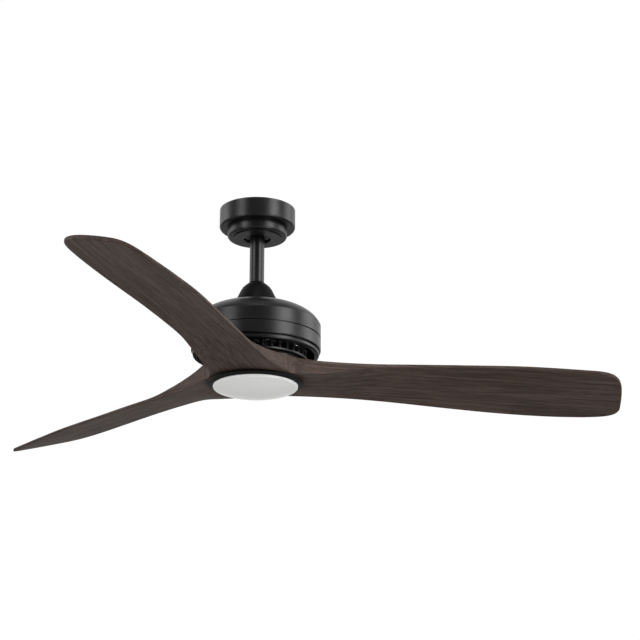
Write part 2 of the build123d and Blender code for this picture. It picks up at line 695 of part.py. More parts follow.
BOARD_T = 1.6
BOARD_BORE_R = 18.0
STANDOFF_R = 3.0
STANDOFF_HOLE = 6.0
STANDOFF_H = FLANGE_BOTTOM - BOARD_Z
BIG_CAPS = (42.0, 3, 20)
BIG_CAP_R, BIG_CAP_H = 5.0, 9.0
SMALL_CAPS = (54.0, 5, 200)
SMALL_CAP_R, SMALL_CAP_H = 3.0, 6.0
CHIP_PITCH_R, CHIP_L, CHIP_W, CHIP_H = 44.0, 10.0, 16.0, 5.0
DRIVER_PITCH_R, DRIVER_L, DRIVER_W = 56.0, 4.0, 6.0

with BuildPart() as board_standoffs:
    discs(BOARD_Z, STANDOFF_H, STANDOFF_R, STANDOFF_SPOTS)
    discs(BOARD_Z, STANDOFF_H + COUPLING_FLANGE_T, SCREW_R, STANDOFF_SPOTS)
    discs(BOARD_Z, STANDOFF_HOLE, SMALL_SCREW_R, STANDOFF_SPOTS, Mode.SUBTRACT)
keep(board_standoffs, "board_standoffs")

with BuildPart() as driver_board:
    disc(BOARD_Z - BOARD_T, BOARD_T, BOARD_R, BOARD_BORE_R)
    discs(BOARD_Z - BOARD_T, BOARD_T, SMALL_SCREW_R + FIT, STANDOFF_SPOTS, Mode.SUBTRACT)
keep(driver_board, "driver_board")

with BuildPart() as board_screws:
    discs(BOARD_Z - BOARD_T - SMALL_HEAD_H, SMALL_HEAD_H, SMALL_HEAD_R, STANDOFF_SPOTS)
    fillet(edges().group_by(Axis.Z)[0], radius=SMALL_HEAD_H * HEAD_ROUNDING)
    discs(BOARD_Z - BOARD_T, BOARD_T + STANDOFF_HOLE - EPS, SMALL_SCREW_R - FIT, STANDOFF_SPOTS)
keep(board_screws, "board_screws")

with BuildPart() as driver_components:
    discs(BOARD_Z, BIG_CAP_H, BIG_CAP_R, ring_spots(*BIG_CAPS))
    discs(BOARD_Z, SMALL_CAP_H, SMALL_CAP_R, ring_spots(*SMALL_CAPS))
    with BuildSketch(Plane.XY.offset(BOARD_Z)):
        with PolarLocations(CHIP_PITCH_R, 3, start_angle=80):
            Rectangle(CHIP_L, CHIP_W)
        with PolarLocations(DRIVER_PITCH_R, 6, start_angle=-30):
            Rectangle(DRIVER_L, DRIVER_W)
    extrude(amount=CHIP_H)
keep(driver_components, "driver_components")

# ---------------------------------------------------------------- bearings

RACE_IN_R = SHAFT_R + 3.0
RACE_OUT_R = BEARING_R - 3.5
TRACK_R = (RACE_IN_R + RACE_OUT_R) / 2
BEARING_BALL_R = 2.1
BEARINGS = (UPPER_BEARING_Z, LOWER_BEARING_Z)


def track(z):
    """The ball track cut into both races of the bearing that stands on z."""
    with BuildSketch(Plane.XZ) as groove:
        with Locations((TRACK_R, z + BEARING_H / 2)):
            Circle(BEARING_BALL_R + 2 * FIT)
    revolve(groove.sketch, axis=Axis.Z, mode=Mode.SUBTRACT)


with BuildPart() as bearing_inner_races:
    for z in BEARINGS:
        disc(z, BEARING_H, RACE_IN_R, SHAFT_R + FIT)
        track(z)
keep(bearing_inner_races, "bearing_inner_races")

with BuildPart() as bearing_outer_races:
    for z in BEARINGS:
        disc(z, BEARING_H, BEARING_R, RACE_OUT_R)
        track(z)
keep(bearing_outer_races, "bearing_outer_races")

with BuildPart() as bearing_balls:
    for z in BEARINGS:
        with Locations(*[(x, y, z + BEARING_H / 2) for x, y in ring_spots(TRACK_R, BALL_COUNT)]):
            Sphere(BEARING_BALL_R)
keep(bearing_balls, "bearing_balls")

# ---------------------------------------------------------------- stator

TOOTH_W = 9.0
TOOTH_TIP_T = 3.5
STATOR_HUB_R = 30.0
TIP_COVER = 0.86
COIL_T = 5.0
COIL_SETBACK = 6.0
COIL_IN_R = STATOR_HUB_R + EPS
COIL_OUT_R = STATOR_R - TOOTH_TIP_T - EPS

with BuildPart() as stator_core:
    with BuildSketch(Plane.XY.offset(STATOR_Z)):
        Circle(STATOR_HUB_R)
        with PolarLocations((STATOR_HUB_R + STATOR_R - TOOTH_TIP_T) / 2, SLOTS):
            Rectangle(STATOR_R - STATOR_HUB_R, TOOTH_W)
        tip_span = 360.0 / SLOTS * TIP_COVER
        for i in range(SLOTS):
            mid = i * 360.0 / SLOTS
            with BuildLine():
                face_arc = CenterArc((0, 0), STATOR_R, mid - tip_span / 2, tip_span)
                back_arc = CenterArc((0, 0), STATOR_R - TOOTH_TIP_T, mid - tip_span / 2, tip_span)
                Line(face_arc @ 0, back_arc @ 0)
                Line(face_arc @ 1, back_arc @ 1)
            make_face()
        Circle(SHAFT_R + FIT, mode=Mode.SUBTRACT)
    extrude(amount=STATOR_H)
keep(stator_core, "stator_core")

with BuildPart() as stator_coils:
    with BuildSketch(Plane.XY.offset(STATOR_Z - COIL_T)):
        with PolarLocations((COIL_IN_R + COIL_OUT_R + COIL_SETBACK) / 2, SLOTS):
            Rectangle(COIL_OUT_R - COIL_IN_R - COIL_SETBACK, TOOTH_W + COIL_T)
    extrude(amount=STATOR_H + 2 * COIL_T)
    fillet(edges().filter_by(Axis.Z), radius=COIL_T / 3)
    with BuildSketch(Plane.XY.offset(STATOR_Z - FIT)):
        with PolarLocations((COIL_IN_R + COIL_OUT_R) / 2, SLOTS):
            Rectangle(2 * (COIL_OUT_R - COIL_IN_R), TOOTH_W + 2 * FIT)
    extrude(amount=STATOR_H + 2 * FIT, mode=Mode.SUBTRACT)
keep(stator_coils, "stator_coils")

# ---------------------------------------------------------------- rotor: magnets, can and base

MAGNET_IN_R = STATOR_R + AIR_GAP
MAGNET_OUT_R = MAGNET_IN_R + MAGNET_T
YOKE_OUT_R = MAGNET_OUT_R + YOKE_T
CAN_R = YOKE_OUT_R + CAN_WALL
BOSS_R = BEARING_R + 4.5
BASE_WALL = 3.0
FLANGE_T = 4.0
SHAFT_CLEAR_R = RACE_OUT_R - EPS
CAP_T = 2.0
CAN_ROUNDING = 3.0
YOKE_OVER = 3.0
CAN_SCREW_SPOTS = ring_spots(CAN_R - 1.5, CAN_SCREWS, 180.0 / VENTS)

with BuildPart() as rotor_yoke:
    disc(STATOR_Z - YOKE_OVER, STATOR_H + 2 * YOKE_OVER, YOKE_OUT_R, MAGNET_OUT_R)
keep(rotor_yoke, "rotor_yoke")

with BuildPart() as rotor_magnets:
    disc(STATOR_Z - EPS, STATOR_H + 2 * EPS, MAGNET_OUT_R, MAGNET_IN_R)
    with BuildSketch(Plane.XY.offset(STATOR_Z - 2 * EPS)):
        with PolarLocations(MAGNET_OUT_R, MAGNETS):
            Rectangle(3 * MAGNET_T, MAGNET_GAP)
    extrude(amount=STATOR_H + 4 * EPS, mode=Mode.SUBTRACT)
keep(rotor_magnets, "rotor_magnets")

with BuildPart() as rotor_top_shell:
    turned([
        (SHAFT_CLEAR_R, UPPER_BEARING_Z + BEARING_H),
        (SHAFT_CLEAR_R, UPPER_BEARING_Z + BEARING_H + CAP_T),
        (BOSS_R, UPPER_BEARING_Z + BEARING_H + CAP_T),
        (BOSS_R, CAN_TOP),
        (CAN_R, CAN_TOP),
        (CAN_R, CAN_JOINT + FLANGE_T),
        (CAN_FLANGE_R, CAN_JOINT + FLANGE_T),
        (CAN_FLANGE_R, CAN_JOINT),
        (YOKE_OUT_R, CAN_JOINT),
        (YOKE_OUT_R, CAN_TOP - CAN_WALL),
        (BEARING_R, CAN_TOP - CAN_WALL),
        (BEARING_R, UPPER_BEARING_Z + BEARING_H),
    ])
    fillet(edges().filter_by(GeomType.CIRCLE).filter_by_position(Axis.Z, CAN_TOP - 0.1, CAN_TOP + 0.1)
           .sort_by(SortBy.RADIUS)[-1], radius=CAN_ROUNDING)
    with BuildSketch(Plane.XY.offset(CAN_TOP - CAN_WALL)):
        with PolarLocations(CAN_SLOT_PITCH_R, VENTS // 2):
            SlotOverall(CAN_SLOT_L, CAN_SLOT_W)
    extrude(amount=CAN_WALL, mode=Mode.SUBTRACT)
    discs(CAN_JOINT, FLANGE_T, SCREW_R + FIT, CAN_SCREW_SPOTS, Mode.SUBTRACT)
keep(rotor_top_shell, "rotor_top_shell")

RIB_BOTTOM = PLATE_TOP + 2.0
RIB_SETBACK = 1.0
RIB_ROUNDING = RIB_T * 0.4
PLATE_SCREW_SPOTS = ring_spots(PLATE_SCREW_PITCH_R, 6, 30)

with BuildPart() as rotor_bottom_shell:
    turned([
        (SHAFT_CLEAR_R, PLATE_TOP),
        (SHAFT_CLEAR_R, LOWER_BEARING_Z),
        (BEARING_R, LOWER_BEARING_Z),
        (BEARING_R, LOWER_BEARING_Z + BEARING_H + EPS),
        (BOSS_R, LOWER_BEARING_Z + BEARING_H + EPS),
        (BOSS_R, PLATE_TOP + BASE_WALL),
        (BASE_R - BASE_WALL, PLATE_TOP + BASE_WALL),
        (BASE_R - BASE_WALL, CAN_JOINT),
        (CAN_FLANGE_R, CAN_JOINT),
        (CAN_FLANGE_R, CAN_JOINT - FLANGE_T),
        (BASE_R, CAN_JOINT - FLANGE_T),
        (BASE_R, PLATE_TOP),
    ])
    with BuildSketch(Plane.XY.offset(RIB_BOTTOM)):
        with PolarLocations((BASE_R + CAN_FLANGE_R) / 2 - RIB_SETBACK, VENTS):
            RectangleRounded(CAN_FLANGE_R - BASE_R, RIB_T, RIB_ROUNDING)
    extrude(amount=CAN_JOINT - FLANGE_T - RIB_BOTTOM)
    with BuildSketch(Plane.XY.offset(PLATE_TOP + BASE_WALL + EPS)):
        with PolarLocations(BASE_R, VENTS, start_angle=180.0 / VENTS):
            Rectangle(3 * BASE_WALL, VENT_W)
    extrude(amount=CAN_JOINT - FLANGE_T - PLATE_TOP - BASE_WALL - 2 * EPS, mode=Mode.SUBTRACT)
    discs(CAN_JOINT - FLANGE_T, FLANGE_T, SCREW_R + FIT, CAN_SCREW_SPOTS, Mode.SUBTRACT)
    discs(PLATE_TOP, BASE_WALL, SCREW_R + FIT, PLATE_SCREW_SPOTS, Mode.SUBTRACT)
keep(rotor_bottom_shell, "rotor_bottom_shell")

with BuildPart() as rotor_screws:
    screws(CAN_SCREW_SPOTS, CAN_JOINT - FLANGE_T, HEAD_R, HEAD_H, SCREW_R, CAN_JOINT + FLANGE_T - EPS)
keep(rotor_screws, "rotor_screws")

# ---------------------------------------------------------------- blade plate and gasket

PLATE_BOTTOM = PLATE_TOP - PLATE_T
HUB_TOP = PLATE_BOTTOM - GASKET_T
HUB_BOTTOM = HUB_TOP - HUB_T
BLADE_ANGLES = [FIRST_BLADE + i * 360.0 / BLADES for i in range(BLADES)]
PLATE_CHAMFER = 0.5
BLADE_SCREW_R = 2.5
BLADE_SCREW_PLACES = [(44.0, -18.0), (44.0, 18.0), (68.0, -22.0), (68.0, 22.0)]


def turned_spots(places, angle):
    """(along, across) places on a blade, turned to that blade's angle on the fan."""
    cos, sin = math.cos(math.radians(angle)), math.sin(math.radians(angle))
    return [(s * cos - t * sin, s * sin + t * cos) for s, t in places]


BLADE_SCREW_SPOTS = [spot for angle in BLADE_ANGLES for spot in turned_spots(BLADE_SCREW_PLACES, angle)]

with BuildPart() as blade_plate:
    disc(PLATE_BOTTOM, PLATE_T, PLATE_R, HUB_BORE_R)
    chamfer(edges().filter_by(GeomType.CIRCLE).sort_by(SortBy.RADIUS)[-2:], length=PLATE_CHAMFER)
    discs(PLATE_BOTTOM, PLATE_T, BLADE_SCREW_R + FIT, BLADE_SCREW_SPOTS, Mode.SUBTRACT)
    with Locations(*[Location((x, y, PLATE_BOTTOM), (180, 0, 0)) for x, y in PLATE_SCREW_SPOTS]):
        CounterSinkHole(SCREW_R + FIT, HEAD_R + FIT, counter_sink_angle=90)
keep(blade_plate, "blade_plate")

with BuildPart() as plate_screws:
    for x, y in PLATE_SCREW_SPOTS:
        with Locations((x, y, PLATE_BOTTOM + (HEAD_R - SCREW_R) / 2)):
            Cone(HEAD_R, SCREW_R, HEAD_R - SCREW_R)
    discs(PLATE_BOTTOM + FIT, PLATE_T + BASE_WALL - FIT, SCREW_R, PLATE_SCREW_SPOTS)
keep(plate_screws, "plate_screws")

with BuildPart() as blade_gasket:
    disc(HUB_TOP, GASKET_T, GASKET_R, HUB_BORE_R)
    discs(HUB_TOP, GASKET_T, BLADE_SCREW_R + RUN, BLADE_SCREW_SPOTS, Mode.SUBTRACT)
keep(blade_gasket, "blade_gasket")

# ---------------------------------------------------------------- blades

# Each blade is carved from one plank. Its root is a third of a thick round hub, butted to its neighbours.
# Beyond the hub it thins and twists: the leading edge stays high and the trailing edge stays low.
SPAN = TIP_R - NECK_S
HALF_WEDGE = math.radians(180.0 / BLADES)
CORNER_S = JUNCTION_R * math.cos(HALF_WEDGE)
CORNER_T = JUNCTION_R * math.sin(HALF_WEDGE)
LEADING = [(0.0, 53.2), (0.16, 52.8), (0.4, 59.0), (0.62, 67.3), (0.78, 69.0), (0.925, 66.5)]
TRAILING = [(0.06, 63.4), (0.16, 63.6), (0.4, 71.2), (0.62, 77.0), (0.78, 74.0), (1.006, 62.0)]
LEADING_NECK = [(CORNER_S + 12.0, CORNER_T - 10.4), (CORNER_S + 32.0, CORNER_T - 16.8)]
TRAILING_NECK = [(CORNER_S + 22.0, CORNER_T - 3.4), (CORNER_S + 60.0, CORNER_T - 7.4)]
END_BULGE = (0.982, 0.0)
# along the blade, then the heights of the leading edge's underside and top and of the trailing edge's,
# above the hub's underside
HUB_SECTIONS = [(20.0, 0.0, 30.0, 0.0, 30.0), (46.0, 0.0, 30.0, 0.0, 29.0), (75.0, 4.0, 29.0, 0.0, 23.5),
                (110.0, 7.0, 28.6, 0.0, 18.0), (150.0, 14.0, 28.6, 0.0, 12.0)]
SPAN_SECTIONS = [(0.165, 23.0, 30.0, -0.3, 6.0), (0.275, 27.0, 32.6, -1.3, 4.2),
                 (0.44, 30.5, 35.8, -4.0, 1.3), (0.62, 33.0, 38.2, -6.2, -1.0),
                 (0.8, 33.3, 38.3, -7.4, -2.4), (1.02, 34.0, 39.0, -5.5, -0.5)]
STRIP = 86.0


def edge_width(points, neck, u):
    """Half-width of the blade at the share u of its span, read off an edge's points."""
    table = [((s - NECK_S) / SPAN, t) for s, t in neck] + points
    for (u0, w0), (u1, w1) in zip(table, table[1:]):
        if u <= u1:
            return w0 + (w1 - w0) * max(0.0, (u - u0) / (u1 - u0))
    return table[-1][1]


def section_heights(s, lead_under, lead_top, trail_under, trail_top):
    """The underside and top heights at both sides of a strip wider than the blade."""
    u = (s - NECK_S) / SPAN
    lead = edge_width(LEADING, LEADING_NECK, u)
    trail = edge_width(TRAILING, TRAILING_NECK, u)
    under = (trail_under - lead_under) / (trail + lead)
    top = (trail_top - lead_top) / (trail + lead)
    return (lead_under - under * (STRIP - lead), trail_under + under * (STRIP - trail),
            trail_top + top * (STRIP - trail), lead_top - top * (STRIP - lead))


SECTIONS = HUB_SECTIONS + [(NECK_S + u * SPAN, *heights) for u, *heights in SPAN_SECTIONS]


def blade_outline():
    """The blade's outline seen from above, drawn along X, with the leading edge on -Y."""
    with BuildSketch(Plane.XY.offset(HUB_BOTTOM - HUB_T)) as outline:
        with BuildLine():
            inner = HUB_BORE_R * math.cos(HALF_WEDGE)
            lead_points = [(CORNER_S, -CORNER_T)] + [(s, -t) for s, t in LEADING_NECK]
            lead_points += [(NECK_S + u * SPAN, -t) for u, t in LEADING]
            trail_points = [(NECK_S + u * SPAN, t) for u, t in reversed(TRAILING)]
            trail_points += [(s, t) for s, t in reversed(TRAILING_NECK)] + [(CORNER_S, CORNER_T)]
            lead = Spline(*lead_points)
            trail = Spline(*trail_points)
            ThreePointArc(lead @ 1, (NECK_S + END_BULGE[0] * SPAN, END_BULGE[1]), trail @ 0)
            Polyline(trail @ 1, (0, 0), lead @ 0)
        make_face()
        fillet(vertices().sort_by(Axis.X)[-1], radius=TRAILING_CORNER_R)
        fillet(vertices().filter_by_position(Axis.Y, -STRIP, -LEADING[-1][1] + 0.5).sort_by(Axis.X)[-1],
               radius=LEADING_CORNER_R)
    return outline.sketch


def carved_blade():
    """The cross-sections of one blade along X, from the hub to past the tip."""
    for s, *heights in SECTIONS:
        lead_under, trail_under, trail_top, lead_top = section_heights(s, *heights)
        crown = BLADE_CROWN if s > NECK_S else 0.0
        with BuildSketch(Plane(origin=(s, 0, HUB_BOTTOM), x_dir=(0, 1, 0), z_dir=(1, 0, 0))) as section:
            with BuildLine():
                ridge = (0, (lead_top + trail_top) / 2 + crown)
                Polyline((-STRIP, lead_top), (-STRIP, lead_under), (STRIP, trail_under), (STRIP, trail_top))
                if crown:
                    ThreePointArc((STRIP, trail_top), ridge, (-STRIP, lead_top))
                else:
                    Line((STRIP, trail_top), (-STRIP, lead_top))
            make_face()
        yield section.sketch


COUNTERBORE_R = 5.6
COUNTERBORE = 9.0
BLADE_HEAD_R = 5.0
BLADE_HEAD_H = 3.4

with BuildPart() as blade_blank:
    loft(list(carved_blade()))
    disc(HUB_BOTTOM, HUB_T, GASKET_R + EPS)
    extrude(blade_outline(), amount=4 * HUB_T, mode=Mode.INTERSECT)
    disc(HUB_TOP, HUB_T, PLATE_R + EPS, mode=Mode.SUBTRACT)
    disc(HUB_BOTTOM, HUB_T, HUB_BORE_R, mode=Mode.SUBTRACT)
    discs(HUB_BOTTOM, HUB_T, BLADE_SCREW_R + RUN, BLADE_SCREW_PLACES, Mode.SUBTRACT)
    discs(HUB_BOTTOM, COUNTERBORE, COUNTERBORE_R, BLADE_SCREW_PLACES, Mode.SUBTRACT)

for number, angle in enumerate(BLADE_ANGLES, start=1):
    with BuildPart() as blade:
        add(blade_blank.part, rotation=(0, 0, angle))
    keep(blade, f"blade_{number}")

with BuildPart() as blade_screws:
    screws(BLADE_SCREW_SPOTS, HUB_BOTTOM + COUNTERBORE, BLADE_HEAD_R, BLADE_HEAD_H, BLADE_SCREW_R,
           PLATE_TOP - RUN)
keep(blade_screws, "blade_screws")

# ---------------------------------------------------------------- light

RING_TOP = HUB_BOTTOM - LIGHT_GAP
RING_BOTTOM = RING_TOP - RING_DROP
RING_WALL = 1.2
RING_ROUND_TOP = 1.2
RING_ROUND_RIM = 0.8
PAN_R = RING_R - RING_EDGE - RING_WALL
HOOK_R = LENS_R - LENS_T - 4.6
HOOK_T = 1.2
LUG_IN_R = HOOK_R + HOOK_T + 2 * RUN
LENS_TOP = RING_TOP - PAN_T - RUN
LUG_T = 1.2
FOOT_TOP = LENS_TOP - LUG_T - RUN
FOOT_R = LENS_R - LENS_T - RUN
NUT_AF = 22.0
NUT_H = 4.0
BOARD_TOP = FOOT_TOP - HOOK_T - EPS
PILLAR_R = 3.0
LED_SCREW_SPOTS = ring_spots((LED_ROWS[0][0] + LED_ROWS[1][0]) / 2, 3, 90)


def sector(radius, bore, middle, span):
    """A piece of a ring, drawn in the sketch that is open."""
    with BuildLine() as border:
        outer_arc = CenterArc((0, 0), radius, middle - span / 2, span)
        inner_arc = CenterArc((0, 0), bore, middle - span / 2, span)
        Line(outer_arc @ 0, inner_arc @ 0)
        Line(outer_arc @ 1, inner_arc @ 1)
    make_face(border.edges())


with BuildPart() as light_pan:
    disc(RING_TOP - PAN_T, PAN_T, PAN_R, SHAFT_R + FIT)
    with BuildSketch(Plane.XY.offset(FOOT_TOP - HOOK_T)):
        for i in range(CATCHES):
            sector(HOOK_R + HOOK_T, HOOK_R, i * 360.0 / CATCHES, CATCH_SPAN)
    extrude(amount=RING_TOP - PAN_T - FOOT_TOP + HOOK_T)
    with BuildSketch(Plane.XY.offset(FOOT_TOP - HOOK_T)):
        for i in range(CATCHES):
            sector(FOOT_R, HOOK_R, i * 360.0 / CATCHES, CATCH_SPAN)
    extrude(amount=HOOK_T)
    discs(BOARD_TOP, RING_TOP - PAN_T - BOARD_TOP, PILLAR_R, LED_SCREW_SPOTS)
    discs(BOARD_TOP, RING_TOP - BOARD_TOP, SMALL_SCREW_R, LED_SCREW_SPOTS, Mode.SUBTRACT)
keep(light_pan, "light_pan")

with BuildPart() as light_nut:
    with BuildSketch(Plane.XY.offset(RING_TOP - PAN_T - NUT_H)):
        RegularPolygon(NUT_AF / 2, 6, major_radius=False)
        Circle(SHAFT_R + FIT, mode=Mode.SUBTRACT)
    extrude(amount=NUT_H)
keep(light_nut, "light_nut")

with BuildPart() as light_trim_ring:
    with BuildSketch(Plane.XZ):
        with BuildLine():
            Polyline(
                (PAN_R + FIT, RING_TOP),
                (RING_R, RING_TOP),
                (RING_R, RING_TOP - RING_EDGE),
                (RING_MOUTH_R + EPS, RING_BOTTOM),
                (RING_MOUTH_R, RING_BOTTOM),
                (RING_MOUTH_R, RING_TOP - PAN_T - FIT),
                (PAN_R + FIT, RING_TOP - PAN_T - FIT),
                close=True,
            )
        make_face()
        rim = vertices().filter_by_position(Axis.X, RING_R - 0.1, RING_R + 0.1)
        fillet(rim.sort_by(Axis.Y)[-1], radius=RING_ROUND_TOP)
        fillet(rim.sort_by(Axis.Y)[0], radius=RING_ROUND_RIM)
    revolve(axis=Axis.Z)
keep(light_trim_ring, "light_trim_ring")

with BuildPart() as led_board:
    disc(BOARD_TOP - BOARD_T, BOARD_T, LED_BOARD_R, LED_BORE_R)
    discs(BOARD_TOP - BOARD_T, BOARD_T, SMALL_SCREW_R + FIT, LED_SCREW_SPOTS, Mode.SUBTRACT)
keep(led_board, "led_board")

with BuildPart() as leds:
    with BuildSketch(Plane.XY.offset(BOARD_TOP - BOARD_T - LED_H)):
        for radius, count in LED_ROWS:
            with PolarLocations(radius, count):
                Rectangle(LED_L, LED_W)
    extrude(amount=LED_H)
keep(leds, "leds")

with BuildPart() as led_board_screws:
    discs(BOARD_TOP - BOARD_T - SMALL_HEAD_H, SMALL_HEAD_H, SMALL_HEAD_R, LED_SCREW_SPOTS)
    discs(BOARD_TOP - BOARD_T, BOARD_T + 3 * EPS, SMALL_SCREW_R - FIT, LED_SCREW_SPOTS)
keep(led_board_screws, "led_board_screws")

SIDE_END = LENS_TOP - LENS_SIDE

with BuildPart() as diffuser:
    with BuildSketch(Plane.XZ):
        with BuildLine():
            dome = TangentArc((0, LENS_BOTTOM), (LENS_R, SIDE_END), tangent=(1, 0))
            lining_end = (LENS_R - LENS_T, SIDE_END + LENS_CORNER)
            lining = TangentArc((0, LENS_BOTTOM + LENS_T), lining_end, tangent=(1, 0))
            Polyline(dome @ 1, (LENS_R, LENS_TOP), (LENS_R - LENS_T, LENS_TOP), lining @ 1)
            Line(dome @ 0, lining @ 0)
        make_face()
        corner = vertices().filter_by_position(Axis.X, LENS_R - 0.1, LENS_R + 0.1)
        fillet(corner.sort_by(Axis.Y)[0], radius=LENS_EDGE)
    revolve(axis=Axis.Z)
    with BuildSketch(Plane.XY.offset(LENS_TOP - LUG_T)):
        for i in range(CATCHES):
            sector(LENS_R - LENS_T / 2, LUG_IN_R, i * 360.0 / CATCHES, LUG_SPAN)
    extrude(amount=LUG_T)
keep(diffuser, "diffuser")
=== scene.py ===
import math

import bpy
from mathutils import Matrix, Vector


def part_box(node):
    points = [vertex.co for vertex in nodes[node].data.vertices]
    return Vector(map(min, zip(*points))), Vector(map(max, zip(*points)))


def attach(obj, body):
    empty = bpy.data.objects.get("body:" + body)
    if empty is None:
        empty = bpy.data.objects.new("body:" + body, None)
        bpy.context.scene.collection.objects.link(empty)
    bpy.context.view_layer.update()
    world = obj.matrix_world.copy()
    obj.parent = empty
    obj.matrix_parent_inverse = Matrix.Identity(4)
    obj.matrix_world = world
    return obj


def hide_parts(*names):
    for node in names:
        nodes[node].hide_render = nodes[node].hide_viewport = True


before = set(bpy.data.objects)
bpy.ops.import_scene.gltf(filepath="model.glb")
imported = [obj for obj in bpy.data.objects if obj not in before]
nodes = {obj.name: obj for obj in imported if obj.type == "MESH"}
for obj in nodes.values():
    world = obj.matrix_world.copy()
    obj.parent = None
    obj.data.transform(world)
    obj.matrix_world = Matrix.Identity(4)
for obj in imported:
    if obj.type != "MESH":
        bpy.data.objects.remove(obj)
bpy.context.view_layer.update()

# ---------------------------------------------------------------- black metalwork
# The canopy, its screw cover, the down-rod and the motor housing are spun and drawn steel.
# They share one satin black powder coat, finely pebbled and rubbed a little brighter on its edges.
# The bell over the coupling and the light's ring are a duller black moulding.


def finish(name, roughness, specular=0.5, metallic=0.0):
    """A new principled material, with its node tree, its shader and a coordinate output in metres."""
    made = bpy.data.materials.new(name)
    made.use_nodes = True
    tree = made.node_tree
    shader = tree.nodes["Principled BSDF"]
    shader.inputs["Roughness"].default_value = roughness
    shader.inputs["Specular IOR Level"].default_value = specular
    shader.inputs["Metallic"].default_value = metallic
    place = tree.nodes.new("ShaderNodeTexCoord").outputs["Object"]
    return made, tree, shader, place


def stretched(tree, place, scale):
    """The place in metres, scaled along each axis."""
    mapping = tree.nodes.new("ShaderNodeMapping")
    mapping.inputs["Scale"].default_value = scale
    tree.links.new(place, mapping.inputs["Vector"])
    return mapping.outputs["Vector"]


def grain(tree, place, scale, detail=4.0, rough=0.55, distortion=0.0):
    """A soft noise from 0 to 1 at so many waves in a metre."""
    noise = tree.nodes.new("ShaderNodeTexNoise")
    noise.inputs["Scale"].default_value = scale
    noise.inputs["Detail"].default_value = detail
    noise.inputs["Roughness"].default_value = rough
    noise.inputs["Distortion"].default_value = distortion
    tree.links.new(place, noise.inputs["Vector"])
    return noise.outputs["Fac"]


def ramp(tree, value, *stops):
    """Turns a value from 0 to 1 into colours or greys at the given stops."""
    blend = tree.nodes.new("ShaderNodeValToRGB")
    while len(blend.color_ramp.elements) < len(stops):
        blend.color_ramp.elements.new(0.5)
    for element, (at, colour) in zip(blend.color_ramp.elements, stops):
        element.position = at
        grey = isinstance(colour, float)
        element.color = (colour, colour, colour, 1.0) if grey else (*colour, 1.0)
    tree.links.new(value, blend.inputs["Fac"])
    return blend.outputs["Color"]


def pebble(tree, shader, height, strength, depth):
    """Raises the surface by a height from 0 to 1, depth metres in all."""
    bump = tree.nodes.new("ShaderNodeBump")
    bump.inputs["Strength"].default_value = strength
    bump.inputs["Distance"].default_value = depth
    tree.links.new(height, bump.inputs["Height"])
    tree.links.new(bump.outputs["Normal"], shader.inputs["Normal"])
    return bump


MIX_A, MIX_B, MIX_COLOUR = 6, 7, 2
EDGE_RADIUS = 0.0007
EDGE_SAMPLES = 4
EDGE_WORN, EDGE_SOUND = 0.8, 0.97
COAT_CLOUD, COAT_SHEEN, COAT_PEBBLE = 14.0, 30.0, 1600.0


def powder_coat(name, colour, worn, roughness, specular):
    """Satin paint over steel: fine pebble, cloudy sheen, and edges rubbed brighter."""
    made, tree, shader, place = finish(name, roughness, specular)
    cloud = grain(tree, place, COAT_CLOUD)
    rounded = tree.nodes.new("ShaderNodeBevel")
    rounded.samples = EDGE_SAMPLES
    rounded.inputs["Radius"].default_value = EDGE_RADIUS
    flat = tree.nodes.new("ShaderNodeNewGeometry").outputs["Normal"]
    bend = tree.nodes.new("ShaderNodeVectorMath")
    bend.operation = "DOT_PRODUCT"
    tree.links.new(rounded.outputs["Normal"], bend.inputs[0])
    tree.links.new(flat, bend.inputs[1])
    rubbed = ramp(tree, bend.outputs["Value"], (EDGE_WORN, 1.0), (EDGE_SOUND, 0.0))
    mix = tree.nodes.new("ShaderNodeMix")
    mix.data_type = "RGBA"
    tree.links.new(rubbed, mix.inputs["Factor"])
    paint = ramp(tree, cloud, (0.3, colour), (0.7, tuple(c * 1.35 for c in colour)))
    tree.links.new(paint, mix.inputs[MIX_A])
    mix.inputs[MIX_B].default_value = (*worn, 1.0)
    tree.links.new(mix.outputs[MIX_COLOUR], shader.inputs["Base Color"])
    sheen = grain(tree, place, COAT_SHEEN)
    sheen = ramp(tree, sheen, (0.25, roughness * 0.88), (0.75, roughness * 1.14))
    tree.links.new(sheen, shader.inputs["Roughness"])
    bump = pebble(tree, shader, grain(tree, place, COAT_PEBBLE, 2.0), 0.12, 0.0002)
    tree.links.new(rounded.outputs["Normal"], bump.inputs["Normal"])
    return made


BLACK = (0.002, 0.002, 0.0021)
RUBBED = (0.03, 0.029, 0.028)
MATT_BLACK = (0.0024, 0.0023, 0.0023)
MATT_RUBBED = (0.012, 0.012, 0.012)
CAST_BLACK = (0.009, 0.009, 0.009)
CAST_RUBBED = (0.09, 0.088, 0.085)
black_coat = powder_coat("satin_black_coat", BLACK, RUBBED, 0.36, 0.32)
matt_coat = powder_coat("matt_black_moulding", MATT_BLACK, MATT_RUBBED, 0.5, 0.08)
cast_coat = powder_coat("black_cast_metal", CAST_BLACK, CAST_RUBBED, 0.36, 0.5)


def dress(material, *names):
    """Gives CAD nodes their finish."""
    for name in names:
        mesh = nodes[name].data
        mesh.materials.clear()
        mesh.materials.append(material)


dress(black_coat, "canopy", "canopy_cover", "downrod", "blade_plate")
dress(black_coat, "housing_top", "housing_lower", "housing_trim_ring")
dress(matt_coat, "coupling_cover", "light_trim_ring")

# ---------------------------------------------------------------- bracket, pins and screws
# The hanger bracket is pressed from zinc-plated steel, with screws, pins and coupling to match.
# Plating is a cool grey with a drawn grain and small bright and dull patches.
# The motor's shaft and bearings are ground steel, its shells are cast, and its coils are enamelled wire.


